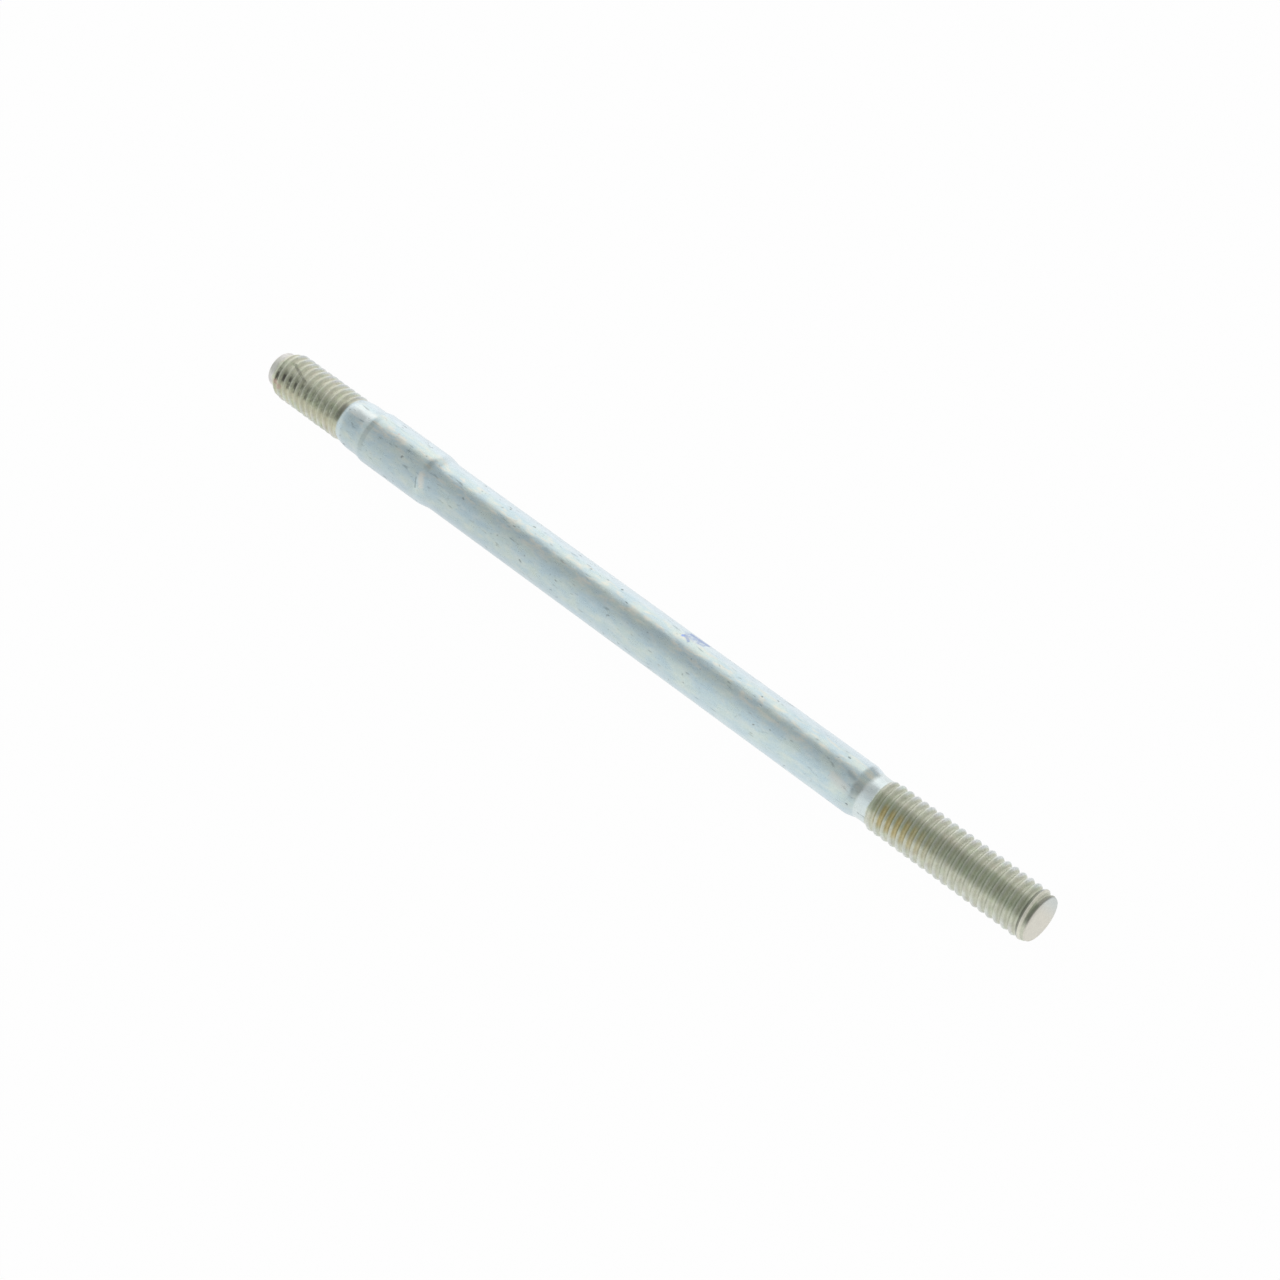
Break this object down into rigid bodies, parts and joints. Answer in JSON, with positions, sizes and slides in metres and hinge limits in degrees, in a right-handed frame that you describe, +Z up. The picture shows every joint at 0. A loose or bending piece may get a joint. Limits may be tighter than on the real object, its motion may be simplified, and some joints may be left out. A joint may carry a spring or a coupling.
{
  "type": "stud bolt",
  "caption": "Slender zinc-plated steel stud, threaded at both ends: a short threaded end with a plain tip, a rounded guide and a collar beside it, a plain shank and a longer thread for a nut.",
  "frame": {"origin": "on the stud's axis, where the short end's thread stops", "axes": "+X along the stud towards the long thread, +Z up with the stud lying on its side"},
  "size_m": [0.1152, 0.0066, 0.0066],
  "materials": {
    "zinc_steel": "satin, clear zinc plate with a slight blue cast, yellowish on the threads"
  },
  "bodies": {
    "root": {"stud_bolt": "zinc_steel"}
  },
  "joints": []
}
